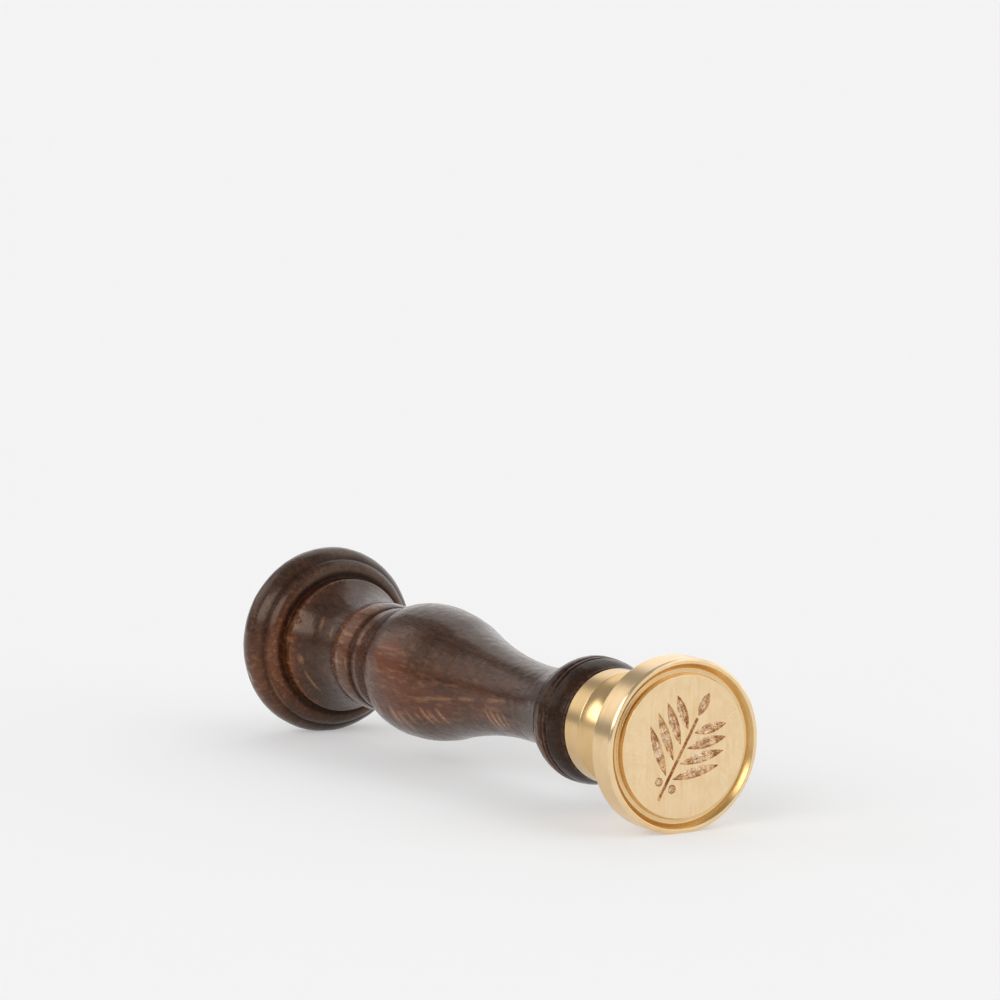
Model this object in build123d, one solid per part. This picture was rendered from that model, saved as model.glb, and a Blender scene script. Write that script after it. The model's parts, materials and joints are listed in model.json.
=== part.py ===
from build123d import *
import math
import os

# Wax seal stamp, lying on its side on a table.
# Every piece is turned about one axis. It is drawn upright first, with the stamp's axis on Z and
# the joint between wood and brass at height 0: the brass head is above, the wooden handle below.
# The stamp is then laid down on the edge of its die and the rim of its pommel.
# All sizes are in millimetres, and angles in degrees.

# Brass head: die, neck and flange
die_diameter = 25.0
die_thickness = 4.2
die_edge_chamfer = 0.3
rim_land_width = 0.72
ring_groove_width = 1.6
ring_groove_depth = 0.9
ring_groove_outer_wall = 0.75
ring_groove_inner_wall = 0.2
neck_length = 10.5
neck_diameter = 11.0
flange_diameter = 16.5
flange_thickness = 3.7
flange_chamfer = 0.3

# Olive sprig cut into the die's face
sprig_margin = 1.8
sprig_half_width = 6.6
sprig_turn = 60.0
stem_width = 0.5
leaf_pairs = 4
leaf_angle = 50.0
leaf_width = 1.5
leaf_gap = 0.35
berry_diameter = 1.3
engraving_depth = 0.6

# Screw joint between the head and the handle
thread_diameter = 6.0
thread_pitch = 1.0
thread_depth = 0.5
thread_length = 9.0
shank_length = 8.5
running_clearance = 0.05
bore_end_gap = 0.5
insert_wall = 1.3
insert_barb_depth = 0.3
insert_barb_count = 5
glue_clearance = 0.03

# Wooden handle, from the joint back to the pommel
collar_face_diameter = 16.6
collar_diameter = 18.3
collar_length = 5.2
collar_edge_round = 0.5
collar_groove_width = 0.6
collar_groove_depth = 0.3
collar_tail_length = 3.1
collar_tail_diameter = 15.2
waist_diameter = 11.2
waist_reach = 9.7
bulb_diameter = 20.0
bulb_reach = 30.4
bulb_blend = 0.7
tail_diameter = 15.6
tail_reach = 10.8
tail_blend = 0.6
crease_depth = 0.6
crease_width = 0.5
bead_diameter = 16.2
bead_width = 5.2
cove_diameter = 14.6
cove_length = 8.0
ring_diameter = 20.1
ring_width = 1.75
pommel_seat_step = 0.5
pommel_diameter = 28.1
pommel_front_length = 4.25
pommel_band_bow = 0.45
pommel_valley_inset = 1.45
pommel_rim_round = 3.4
pommel_dome_rise = 1.6

# Flats where the pommel's rim and the die's edge lie on the table
resting_flat_depth = 0.2

# Radii and heights that follow from the sizes above
die_radius = die_diameter / 2
land_radius = die_radius - rim_land_width
disc_radius = land_radius - ring_groove_width
head_length = flange_thickness + neck_length + die_thickness
thread_radius = thread_diameter / 2
insert_radius = thread_radius + running_clearance + insert_wall
insert_length = thread_length + bore_end_gap
pommel_radius = pommel_diameter / 2


def turn(outline):
    """Turn a closed outline, drawn as radius and height, about the stamp's axis."""
    return revolve(Plane.XZ * make_face(outline), Axis.Z)


def outward_bow(start, end, height):
    """An arc from start to end that bows outward by a given height at its middle."""
    chord = Vector(*end) - Vector(*start)
    middle = (Vector(*start) + Vector(*end)) / 2
    normal = Vector(-chord.Y, chord.X).normalized()
    if normal.X < 0:
        normal = -normal
    peak = middle + normal * height
    return ThreePointArc(start, (peak.X, peak.Y), end)


def s_curve(start, end, share):
    """Two tangent arcs between two points whose tangents both run along the axis."""
    join = Vector(*start) + (Vector(*end) - Vector(*start)) * share
    meet = (join.X, join.Y)
    along = (0, math.copysign(1, end[1] - start[1]))
    back = (0, -along[1])
    return [TangentArc(start, meet, tangent=along), TangentArc(end, meet, tangent=back)]


def handle_heights():
    """Heights of the handle's turned features, going down from the joint."""
    heights = {"collar": -collar_length}
    heights["collar_tail"] = heights["collar"] - collar_groove_width
    heights["waist_start"] = heights["collar_tail"] - collar_tail_length
    heights["waist"] = heights["waist_start"] - waist_reach
    heights["bulb"] = heights["waist"] - bulb_reach
    heights["tail"] = heights["bulb"] - tail_reach
    heights["bead_top"] = heights["tail"] - crease_width
    heights["bead_end"] = heights["bead_top"] - bead_width
    heights["cove"] = heights["bead_end"] - crease_width
    heights["ring_top"] = heights["cove"] - cove_length
    heights["ring_end"] = heights["ring_top"] - ring_width
    heights["rim"] = heights["ring_end"] - pommel_front_length
    heights["end"] = heights["rim"] - pommel_rim_round - pommel_dome_rise
    return heights


heights = handle_heights()


def pommel_arcs(seat):
    """The pommel as arcs from its seat on the ring: bowed band, valley, round rim and low dome."""
    centre_radius = pommel_radius - pommel_rim_round
    reach = pommel_rim_round - pommel_valley_inset
    valley_rise = math.sqrt(pommel_rim_round**2 - reach**2)
    valley = (centre_radius + reach, heights["rim"] + valley_rise)
    overhang = pommel_rim_round + pommel_dome_rise
    dome_radius = (centre_radius**2 + overhang**2 - pommel_rim_round**2) / (2 * pommel_dome_rise)
    dome_centre = heights["end"] + dome_radius
    fall = math.atan2(centre_radius, dome_centre - heights["rim"])
    join = (dome_radius * math.sin(fall), dome_centre - dome_radius * math.cos(fall))
    rim = (pommel_radius, heights["rim"])
    apex = (0, heights["end"])
    return [
        outward_bow(seat, valley, pommel_band_bow),
        TangentArc(rim, valley, tangent=(0, 1)),
        TangentArc(rim, join, tangent=(0, -1)),
        TangentArc(apex, join, tangent=(1, 0)),
    ]


def collar_outline():
    """The collar's front face, bowed side, fine groove and rounded tail."""
    face_radius = collar_face_diameter / 2
    side_radius = collar_diameter / 2
    tail_radius = collar_tail_diameter / 2
    edge = (face_radius - collar_edge_round, 0)
    shoulder = (face_radius, -collar_edge_round)
    groove_top = (side_radius, heights["collar"])
    groove_floor = (side_radius - collar_groove_depth, heights["collar"] - collar_groove_width / 2)
    groove_end = (side_radius, heights["collar_tail"])
    tail = (tail_radius, heights["waist_start"])
    return [
        Polyline((0, 0), edge),
        TangentArc(edge, shoulder, tangent=(1, 0)),
        outward_bow(shoulder, groove_top, collar_groove_depth),
        Polyline(groove_top, groove_floor, groove_end),
        outward_bow(groove_end, tail, collar_groove_depth),
    ]


def grip_outline():
    """The waist and the bulb, down to the crease in front of the bead."""
    start = (collar_tail_diameter / 2, heights["waist_start"])
    foot = (start[0] - crease_depth, start[1])
    waist = (waist_diameter / 2, heights["waist"])
    bulb = (bulb_diameter / 2, heights["bulb"])
    tail = (tail_diameter / 2, heights["tail"])
    return [
        Polyline(start, foot),
        TangentArc(waist, foot, tangent=(0, 1)),
        *s_curve(waist, bulb, bulb_blend),
        *s_curve(bulb, tail, tail_blend),
    ]


def pommel_outline():
    """The bead, the cove, the ring and the pommel."""
    tail = (tail_diameter / 2, heights["tail"])
    bead_radius = bead_diameter / 2
    crease_floor = (bead_radius - crease_depth, (heights["tail"] + heights["bead_top"]) / 2)
    bead_edge_radius = bead_radius - crease_depth / 2
    bead_top = (bead_edge_radius, heights["bead_top"])
    bead_end = (bead_edge_radius, heights["bead_end"])
    cove = (cove_diameter / 2, heights["cove"])
    ring_top = (ring_diameter / 2, heights["ring_top"])
    ring_end = (ring_diameter / 2, heights["ring_end"])
    seat = (ring_diameter / 2 + pommel_seat_step, heights["ring_end"])
    return [
        Polyline(tail, crease_floor, bead_top),
        outward_bow(bead_top, bead_end, crease_depth / 2),
        Polyline(bead_end, cove),
        TangentArc(cove, ring_top, tangent=(0, -1)),
        Polyline(ring_top, ring_end, seat),
        *pommel_arcs(seat),
        Polyline((0, heights["end"]), (0, 0)),
    ]


def make_handle():
    """The turned wooden handle with the blind bore for its insert."""
    body = turn(collar_outline() + grip_outline() + pommel_outline())
    bore_radius = insert_radius + glue_clearance
    bore = Cylinder(bore_radius, insert_length + bore_end_gap, align=(Align.CENTER, Align.CENTER, Align.MAX))
    return body - bore


def make_insert():
    """The brass sleeve glued into the handle, with barbs that hold it in the glue."""
    bore_radius = thread_radius + running_clearance
    root_radius = insert_radius - insert_barb_depth
    step = insert_length / insert_barb_count
    points = [(bore_radius, 0), (insert_radius, 0)]
    for barb in range(insert_barb_count):
        top = -barb * step
        points += [(insert_radius, top - step / 2), (root_radius, top - step)]
        if barb < insert_barb_count - 1:
            points.append((insert_radius, top - step))
    points += [(bore_radius, -insert_length), (bore_radius, 0)]
    return turn(Polyline(*points))


def make_stud():
    """The stud: a plain shank up in the head, and a ridge for each turn of thread below."""
    root_radius = thread_radius - thread_depth
    crest = thread_pitch / 8
    flank = thread_pitch * 3 / 8
    ridges = round((thread_length - thread_pitch) / thread_pitch)
    points = [(0, shank_length), (thread_radius, shank_length), (thread_radius, 0), (root_radius, 0)]
    for ridge in range(ridges):
        middle = -thread_pitch * (ridge + 1)
        points.append((root_radius, middle + flank))
        points.append((thread_radius, middle + crest))
        points.append((thread_radius, middle - crest))
        points.append((root_radius, middle - flank))
    points += [(root_radius, -thread_length), (0, -thread_length), (0, shank_length)]
    return turn(Polyline(*points))


def leaf_face(length):
    """A lens-shaped leaf that lies along X from the origin."""
    half = leaf_width / 2
    upper = ThreePointArc((0, 0), (length / 2, half), (length, 0))
    lower = ThreePointArc((length, 0), (length / 2, -half), (0, 0))
    return make_face([upper, lower])


def leaf_reach(base, direction, half_height):
    """The distance from a leaf's base to the oval that the sprig fills."""
    a = (direction[0] / sprig_half_width) ** 2 + (direction[1] / half_height) ** 2
    b = base[0] * direction[0] / sprig_half_width**2 + base[1] * direction[1] / half_height**2
    c = (base[0] / sprig_half_width) ** 2 + (base[1] / half_height) ** 2 - 1
    return (-b + math.sqrt(b * b - a * c)) / a


def sprig_faces():
    """The sprig's stem, leaves and berries, with the stem along Y."""
    half_height = disc_radius - sprig_margin
    offset = stem_width / 2 + leaf_gap
    spacing = (leaf_width + leaf_gap) / math.sin(math.radians(leaf_angle))
    top = (leaf_pairs - 1) * spacing / 2
    berry_radius = berry_diameter / 2
    faces = []
    for pair in range(leaf_pairs):
        height = top - pair * spacing - spacing / 2
        for side in (1, -1):
            heading = 90 - side * leaf_angle
            direction = (math.cos(math.radians(heading)), math.sin(math.radians(heading)))
            base = (side * offset, height)
            reach = leaf_reach(base, direction, half_height)
            faces.append(Pos(*base) * Rot(0, 0, heading) * leaf_face(reach))
    tip_base = (0, top + spacing / 2)
    tip_reach = half_height - tip_base[1]
    faces.append(Pos(*tip_base) * Rot(0, 0, 90) * leaf_face(tip_reach))
    stem_top = tip_base[1] - leaf_gap
    stem_length = stem_top + half_height
    faces.append(Pos(0, stem_top - stem_length / 2) * Rectangle(stem_width, stem_length))
    berry_place = (offset + berry_radius, top - leaf_pairs * spacing)
    for side in (1, -1):
        faces.append(Pos(side * berry_place[0], berry_place[1]) * Circle(berry_radius))
    return faces


def make_head():
    """The turned brass head with its ring groove, engraved face and bore for the stud."""
    flange_radius = flange_diameter / 2
    neck_top = flange_thickness + neck_length
    groove_floor = head_length - ring_groove_depth
    outline = [
        Polyline((0, 0), (flange_radius - flange_chamfer, 0), (flange_radius, flange_chamfer)),
        Polyline((flange_radius, flange_chamfer), (flange_radius, flange_thickness)),
        ThreePointArc(
            (flange_radius, flange_thickness),
            (neck_diameter / 2, flange_thickness + neck_length / 2),
            (flange_radius, neck_top),
        ),
        Polyline(
            (flange_radius, neck_top),
            (die_radius, neck_top),
            (die_radius, head_length - die_edge_chamfer),
            (die_radius - die_edge_chamfer, head_length),
            (land_radius, head_length),
            (land_radius - ring_groove_outer_wall, groove_floor),
            (disc_radius + ring_groove_inner_wall, groove_floor),
            (disc_radius, head_length),
            (0, head_length),
            (0, 0),
        ),
    ]
    bore_radius = thread_radius + running_clearance
    bore = Cylinder(bore_radius, shank_length + bore_end_gap, align=(Align.CENTER, Align.CENTER, Align.MIN))
    head = turn(outline) - bore
    place = Pos(0, 0, head_length) * Rot(0, 0, sprig_turn)
    for face in sprig_faces():
        head -= extrude(place * face, -engraving_depth)
    return head


def resting_tilt():
    """The axis's slope when the die's edge and the pommel's rim both touch the table."""
    edge_height = head_length - die_edge_chamfer
    run = edge_height - heights["rim"]
    rise = pommel_radius - pommel_rim_round - die_radius
    return math.degrees(math.atan2(rise, run) + math.asin(pommel_rim_round / math.hypot(run, rise)))


def lay_down(pieces):
    """Lay the upright stamp on its side, die towards +X, centred over the origin on the table."""
    tilted = {name: Rot(0, 90 + resting_tilt(), 0) * piece for name, piece in pieces.items()}
    boxes = [piece.bounding_box() for piece in tilted.values()]
    back = min(box.min.X for box in boxes)
    front = max(box.max.X for box in boxes)
    lowest = min(box.min.Z for box in boxes)
    shift = Pos(-(back + front) / 2, 0, -lowest - resting_flat_depth)
    bottom = (Align.CENTER, Align.CENTER, Align.MAX)
    table = Box(2 * (front - back), 2 * pommel_diameter, pommel_diameter, align=bottom)
    laid = {name: shift * piece for name, piece in tilted.items()}
    for name in ("handle", "seal_head"):
        laid[name] -= table
    return laid


upright = {
    "handle": make_handle(),
    "threaded_insert": make_insert(),
    "stud": make_stud(),
    "seal_head": make_head(),
}
os.makedirs("parts", exist_ok=True)
for name, piece in lay_down(upright).items():
    export_step(piece, os.path.join("parts", name + ".step"))
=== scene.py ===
import json
import math
import random

import bmesh
import bpy
import numpy
from mathutils import Matrix, Vector, noise
from mathutils.geometry import delaunay_2d_cdt


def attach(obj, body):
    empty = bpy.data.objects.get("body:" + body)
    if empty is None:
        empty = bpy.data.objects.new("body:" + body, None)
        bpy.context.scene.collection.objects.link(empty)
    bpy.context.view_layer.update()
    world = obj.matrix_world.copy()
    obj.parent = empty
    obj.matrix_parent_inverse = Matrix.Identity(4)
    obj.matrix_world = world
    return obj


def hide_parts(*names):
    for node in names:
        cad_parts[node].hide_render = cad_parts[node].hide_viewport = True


# A wax seal stamp lying on its side: a turned wooden handle, a brass head that screws into it,
# and the stud and sleeve of the screw joint. The pieces are drawn upright in millimetres, as radius
# and height about the stamp's axis with the joint at height 0, and then laid where the solids lie.

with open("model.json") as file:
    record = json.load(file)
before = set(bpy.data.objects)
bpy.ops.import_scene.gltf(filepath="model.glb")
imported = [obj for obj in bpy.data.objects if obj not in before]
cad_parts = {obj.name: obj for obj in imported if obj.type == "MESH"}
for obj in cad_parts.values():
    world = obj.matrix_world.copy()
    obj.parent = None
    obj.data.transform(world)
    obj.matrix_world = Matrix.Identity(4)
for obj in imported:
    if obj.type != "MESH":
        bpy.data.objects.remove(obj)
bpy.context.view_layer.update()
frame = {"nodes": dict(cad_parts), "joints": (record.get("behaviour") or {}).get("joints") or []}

MM = 0.001
SEED = 7

# Vertices round a turned piece, and what counts as nothing: a length in millimetres, a gap between
# two points of an outline in millimetres, and a gap between two vertices in metres
AROUND = 288
TINY = 1e-6
SAME_POINT = 1e-5
SAME_VERTEX = 2e-7

# The stamp's axis, from the joint that turns the head
turn_joint = next(joint for joint in frame["joints"] if joint["name"] == "head_turn")
ALONG = Vector(turn_joint["axis"]).normalized()
ACROSS = Vector((0, 1, 0))
DOWN = ACROSS.cross(ALONG)
JOINT = Vector(turn_joint["pos_m"])

# Brass head
DIE_RADIUS = 12.5
DIE_BACK = 14.2
DIE_FACE = 18.4
DIE_CHAMFER = 0.3
LAND_RADIUS = 11.78
DISC_RADIUS = 10.18
GROOVE_DEPTH = 0.9
GROOVE_OUTER_WALL = 0.75
GROOVE_INNER_WALL = 0.2
NECK_RADIUS = 5.5
FLANGE_RADIUS = 8.25
FLANGE_TOP = 3.7
FLANGE_CHAMFER = 0.3
HEAD_BORE_RADIUS = 3.05
HEAD_BORE_DEPTH = 9.0
BRASS_EDGE = 0.07
BRASS_STEP = 0.2
BRASS_SHARP = math.radians(30)
FACE_RADIUS = DISC_RADIUS - 2 * BRASS_EDGE

# How much painted shade browns the brass, from 0 to 1, the share of the groove's depth that stays bright,
# and how near an edge a place counts as on it
NECK_SHADE = 0.7
DIE_SIDE_SHADE = 0.3
GROOVE_WALL_SHADE = 1.0
GROOVE_FLOOR_SHADE = 0.45
GROOVE_LIP_SHARE = 0.02
EDGE_SLACK = 0.01

# Olive sprig cut into the die's face
SPRIG_HALF_HEIGHT = 8.38
SPRIG_HALF_WIDTH = 6.6
SPRIG_TURN = math.radians(60)
STEM_WIDTH = 0.5
LEAF_PAIRS = 4
LEAF_ANGLE = math.radians(50)
LEAF_WIDTH = 1.5
LEAF_GAP = 0.35
BERRY_RADIUS = 0.65
CUT_DEPTH = 0.55
CUT_WALL = 0.16
CUT_END_SLOPE = 0.5
CUT_ROUGHNESS = 0.18
RIB_HALF_WIDTH = 0.16
RIB_HEIGHT = 0.22

# Grid of a cut: step in millimetres, and numbers of rows and columns
CUT_STEP = 0.08
LEAST_ROWS = 10
LEAST_COLUMNS = 8
EXTRA_COLUMNS = 4

# Grit on the floor of a cut: size, bumps to the millimetre and the level of the noise
GRIT = [(1.0, 2.6, 3.0), (0.6, 5.1, 8.0)]

# Straight brushing of the die's face: how far it is stretched, and its place in the brass's noise
BRUSH_STRETCH = 0.1
BRUSH_LEVEL = 40.0

# Stud: sizes, shares of a pitch for the thread's root and its two flanks, lengths of its two run-outs,
# and its grid
STUD_RADIUS = 3.0
THREAD_DEPTH = 0.5
THREAD_PITCH = 1.0
THREAD_END = -9.0
SHANK_END = 8.5
ROOT_SHARE = 0.25
FLANK_SHARE = 0.6
JOINT_RUN_OUT = 0.6
TIP_RUN_OUT = 0.9
STUD_AROUND = 48
ROWS_PER_TURN = 8
STUD_SHARP = math.radians(50)

# Wooden handle
WOOD_BORE_RADIUS = 4.38
WOOD_BORE_DEPTH = 10.0
WOOD_EDGE = 0.16
WOOD_STEP = 0.22
WOOD_SHARP = math.radians(40)
OUTSIDE_RADIUS = 5.0

# Places on the handle's outline, as radius and height. A groove has an edge, a bottom and an edge.
COLLAR_FACE_EDGE = (7.8, 0)
COLLAR_FRONT = (8.3, -0.5)
FRONT_GROOVE = [(9.09, -3.4), (8.86, -3.6), (9.12, -3.8)]
MIDDLE_GROOVE = [(9.15, -4.4), (8.90, -4.6), (9.15, -4.8)]
COLLAR_WIDEST = (9.15, -5.8)
BACK_GROOVE = [(8.55, -7.5), (8.3, -7.65), (8.4, -7.85)]
COLLAR_TAIL = (7.6, -8.9)
GRIP_FRONT = (7.0, -8.9)
WAIST = (5.6, -18.6)
BULB = (10.0, -49.0)
BULB_BACK = (7.8, -59.8)
CREASE = (7.5, -60.05)
BEAD_FRONT = (7.8, -60.3)
BEAD_BACK = (7.8, -65.5)
COVE_FRONT = (7.3, -66.0)
STEP_FRONT = (10.05, -74.0)
STEP_BACK = (10.05, -75.75)
POMMEL_FRONT = (10.55, -75.75)
POMMEL_SHOULDER = (12.6, -77.215)
POMMEL_RIM = (14.05, -80.0)
DOME_EDGE = (11.16, -83.36)
DOME_TOP = (0, -85.0)

# Wear and a painted highlight at the handle's edges, and painted shade in its creases: reach in
# millimetres, then how much a bend counts, how many points on each side it spreads to, what share of it
# goes unseen, and the stain that the whole collar has
EDGE_REACH = 0.35
CREASE_SHADE_REACH = 0.8
BEND_GAIN = 1.6
BEND_SPREAD = 12
BLUNT_SHARE = 0.25
COLLAR_STAIN = 0.8


def to_world(point):
    """A point of the upright drawing, in millimetres, as a place in the scene, on or over the table."""
    x, y, z = point
    placed = JOINT + (DOWN * x + ACROSS * y + ALONG * z) * MM
    placed.z = max(placed.z, 0.0)
    return placed


# Outlines, as lists of radius and height

OUTWARD = (1, 0)
TO_DIE = (0, 1)
TO_POMMEL = (0, -1)
SHARP_CORNER = math.radians(24)
ROUND_STEPS = 4
ROUND_REACH = 0.45


def between(start, end, share):
    """The point at a share of the way from start to end."""
    return (start[0] + (end[0] - start[0]) * share, start[1] + (end[1] - start[1]) * share)


def arc(start, tangent, end, steps):
    """Points on the arc that leaves start along a tangent and arrives at end."""
    sx, sy = start
    length = math.hypot(*tangent)
    tx, ty = tangent[0] / length, tangent[1] / length
    cx, cy = end[0] - sx, end[1] - sy
    lean = cx * -ty + cy * tx
    if abs(lean) < TINY:
        return [(sx + cx * i / steps, sy + cy * i / steps) for i in range(steps + 1)]
    radius = (cx * cx + cy * cy) / (2 * lean)
    ox, oy = sx - ty * radius, sy + tx * radius
    first = math.atan2(sy - oy, sx - ox)
    sweep = 2 * math.atan2(lean, cx * tx + cy * ty)
    size = abs(radius)
    angles = [first + sweep * i / steps for i in range(steps + 1)]
    return [(ox + size * math.cos(a), oy + size * math.sin(a)) for a in angles]


def bow(start, end, height, steps):
    """Points on an arc from start to end that bows outward from the axis by a height."""
    cx, cy = end[0] - start[0], end[1] - start[1]
    half = math.hypot(cx, cy) / 2
    opening = 2 * math.atan2(height, half)
    side = 1 if cy < 0 else -1
    turn = side * opening
    tangent = (cx * math.cos(turn) - cy * math.sin(turn), cx * math.sin(turn) + cy * math.cos(turn))
    return arc(start, tangent, end, steps)


def s_curve(start, end, share, steps):
    """Two arcs that leave start and reach end along the axis, meeting on the line between."""
    meet = between(start, end, share)
    way = math.copysign(1, end[1] - start[1])
    first = arc(start, (0, way), meet, steps)
    second = arc(end, (0, -way), meet, steps)
    return first + second[::-1][1:]


def joined(*runs):
    """Runs of points as one outline, without repeats."""
    points = []
    for run in runs:
        for point in run:
            if not points or math.dist(points[-1], point) > SAME_POINT:
                points.append(point)
    return points


def softened(points, size):
    """The outline with each sharp corner replaced by a small round."""
    result = [points[0]]
    for before, corner, after in zip(points, points[1:], points[2:]):
        ax, ay = before[0] - corner[0], before[1] - corner[1]
        bx, by = after[0] - corner[0], after[1] - corner[1]
        la, lb = math.hypot(ax, ay), math.hypot(bx, by)
        bend = math.pi - math.acos(max(-1, min(1, (ax * bx + ay * by) / (la * lb))))
        if bend < SHARP_CORNER:
            result.append(corner)
            continue
        cut = min(size, ROUND_REACH * la, ROUND_REACH * lb)
        near = (corner[0] + ax / la * cut, corner[1] + ay / la * cut)
        far = (corner[0] + bx / lb * cut, corner[1] + by / lb * cut)
        result += arc(near, (-ax, -ay), far, ROUND_STEPS)
    result.append(points[-1])
    return joined(result)


def resampled(points, step):
    """The outline with long runs divided, so that no step is longer than a given one."""
    result = [points[0]]
    for start, end in zip(points, points[1:]):
        count = max(1, math.ceil(math.dist(start, end) / step))
        result += [between(start, end, i / count) for i in range(1, count + 1)]
    return result


# Meshes


def new_piece(name, bm, materials, body, node, sharp):
    """A shown piece from a mesh drawn in the scene's frame, riding on a body in place of a solid."""
    bmesh.ops.recalc_face_normals(bm, faces=bm.faces)
    mesh = bpy.data.meshes.new(name)
    bm.to_mesh(mesh)
    bm.free()
    mesh.polygons.foreach_set("use_smooth", [True] * len(mesh.polygons))
    mesh.set_sharp_from_angle(angle=sharp)
    for material in materials:
        mesh.materials.append(material)
    piece = bpy.data.objects.new(name, mesh)
    bpy.context.scene.collection.objects.link(piece)
    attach(piece, body)
    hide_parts(node)
    return piece


def add_face(bm, corners, material_index=0):
    """A face over the corners that differ from each other, where three or more do."""
    corners = list(dict.fromkeys(corners))
    if len(corners) > 2:
        bm.faces.new(corners).material_index = material_index


def lathe(bm, outline, around, shift=None, **weights):
    """Turn an outline into rings of quads. Each weight is a layer with a value for each ring."""
    kinds = [(bm.verts.layers.float_vector, ["streak"]), (bm.verts.layers.float, list(weights))]
    for layers, names in kinds:
        for name in names:
            if name not in layers:
                layers.new(name)
    streak = bm.verts.layers.float_vector["streak"]
    scales = [(bm.verts.layers.float[name], values) for name, values in weights.items()]
    rings = []
    run = 0.0
    for i, (radius, height) in enumerate(outline):
        if i:
            run += math.dist(outline[i - 1], outline[i])
        ring = []
        for k in range(around if radius > TINY else 1):
            angle = 2 * math.pi * k / around
            out = radius + (shift(angle, radius, height) if shift and radius > TINY else 0.0)
            vertex = bm.verts.new(to_world((out * math.cos(angle), out * math.sin(angle), height)))
            vertex[streak] = (math.cos(angle), math.sin(angle), run)
            for layer, values in scales:
                vertex[layer] = values[i]
            ring.append(vertex)
        rings.append(ring)
    for lower, upper in zip(rings, rings[1:]):
        for k in range(around):
            corners = [lower[k % len(lower)], lower[(k + 1) % len(lower)]]
            corners += [upper[(k + 1) % len(upper)], upper[k % len(upper)]]
            add_face(bm, corners)


def circle(radius, count):
    """Points round a circle."""
    angles = [2 * math.pi * k / count for k in range(count)]
    return [(radius * math.cos(a), radius * math.sin(a)) for a in angles]


# Materials


class Nodes:
    """A node tree under construction."""

    def __init__(self, tree):
        self.tree = tree

    def add(self, kind, settings=None, **inputs):
        """A node with its settings and its inputs, each a value or another node's output.

        An input goes by its name, or by its number after an underscore.
        """
        node = self.tree.nodes.new("ShaderNode" + kind)
        for key, value in (settings or {}).items():
            setattr(node, key, value)
        for key, value in inputs.items():
            socket = node.inputs[int(key[1:])] if key[0] == "_" else node.inputs[key]
            self.plug(socket, value)
        return node

    def plug(self, socket, value):
        """Give a socket a value of its own or a link."""
        if isinstance(value, bpy.types.NodeSocket):
            self.tree.links.new(value, socket)
        else:
            socket.default_value = value

    def math(self, operation, first, second=0.0):
        return self.add("Math", {"operation": operation}, _0=first, _1=second).outputs[0]

    def times(self, first, second):
        return self.math("MULTIPLY", first, second)

    def total(self, *parts):
        """The sum of values, each times its weight."""
        result, *others = [self.times(value, weight) for value, weight in parts]
        for other in others:
            result = self.math("ADD", result, other)
        return result

    def dot(self, first, second):
        settings = {"operation": "DOT_PRODUCT"}
        return self.add("VectorMath", settings, _0=first, _1=second).outputs["Value"]

    def ramp(self, value, low, high):
        """0 below low, 1 above high, and smooth between."""
        settings = {"interpolation_type": "SMOOTHSTEP", "clamp": True}
        inputs = {"Value": value, "From Min": low, "From Max": high}
        return self.add("MapRange", settings, **inputs).outputs[0]

    def blend(self, share, first, second):
        """A number between two others."""
        return self.add("Mix", {"data_type": "FLOAT"}, _0=share, _2=first, _3=second).outputs[0]


class Look(Nodes):
    """A node material under construction."""

    def __init__(self, name):
        self.material = bpy.data.materials.new(name)
        self.material.use_nodes = True
        super().__init__(self.material.node_tree)
        self.shader = self.tree.nodes["Principled BSDF"]

    def stretched(self, vector, factors):
        return self.add("VectorMath", {"operation": "MULTIPLY"}, _0=vector, _1=factors).outputs[0]

    def millimetres(self, scale):
        """The object's own coordinates, in millimetres, stretched by a scale for each axis."""
        place = self.add("TexCoord").outputs["Object"]
        return self.stretched(place, tuple(s / MM for s in scale))

    def attribute(self, name, output="Fac"):
        return self.add("Attribute", {"attribute_name": name}).outputs[output]

    def noise(self, vector, detail, roughness):
        values = {"Vector": vector, "Scale": 1.0, "Detail": detail, "Roughness": roughness}
        return self.add("TexNoise", None, **values).outputs["Fac"]

    def grain(self, scale, detail, roughness):
        """Noise with a number of spots to the millimetre along each axis."""
        return self.noise(self.millimetres(scale), detail, roughness)

    def spread(self, value, low, high, to_low, to_high):
        """A value taken from one range to another."""
        inputs = {"Value": value, "From Min": low, "From Max": high, "To Min": to_low, "To Max": to_high}
        return self.add("MapRange", {"clamp": True}, **inputs).outputs[0]

    def mix(self, share, first, second):
        """A colour between two others."""
        settings = {"data_type": "RGBA"}
        return self.add("Mix", settings, _0=share, _6=first, _7=second).outputs[2]

    def bump(self, height, strength, depth):
        """A normal from a height, with a depth in millimetres."""
        inputs = {"Height": height, "Strength": strength, "Distance": depth * MM}
        return self.add("Bump", None, **inputs).outputs["Normal"]

    def finish(self, **inputs):
        """Set the shader's inputs and hand the material over."""
        for key, value in inputs.items():
            self.plug(self.shader.inputs[key.replace("_", " ")], value)
        return self.material


def rgb(red, green, blue):
    return (red, green, blue, 1.0)


# The pore colour also paints the shade in the creases.
WOOD_PORE_AND_SHADE = rgb(0.008, 0.004, 0.003)
WOOD_DARK = rgb(0.013, 0.0062, 0.0036)
WOOD_MID = rgb(0.041, 0.0190, 0.0110)
WOOD_RED = rgb(0.145, 0.040, 0.014)
WOOD_TAN = rgb(0.44, 0.215, 0.10)
# The worn colour lightens the edges, partly as a painted highlight.
WOOD_WORN_AND_HIGHLIGHT = rgb(0.20, 0.095, 0.052)
WOOD_SHEEN = rgb(1.0, 0.78, 0.64)


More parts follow.
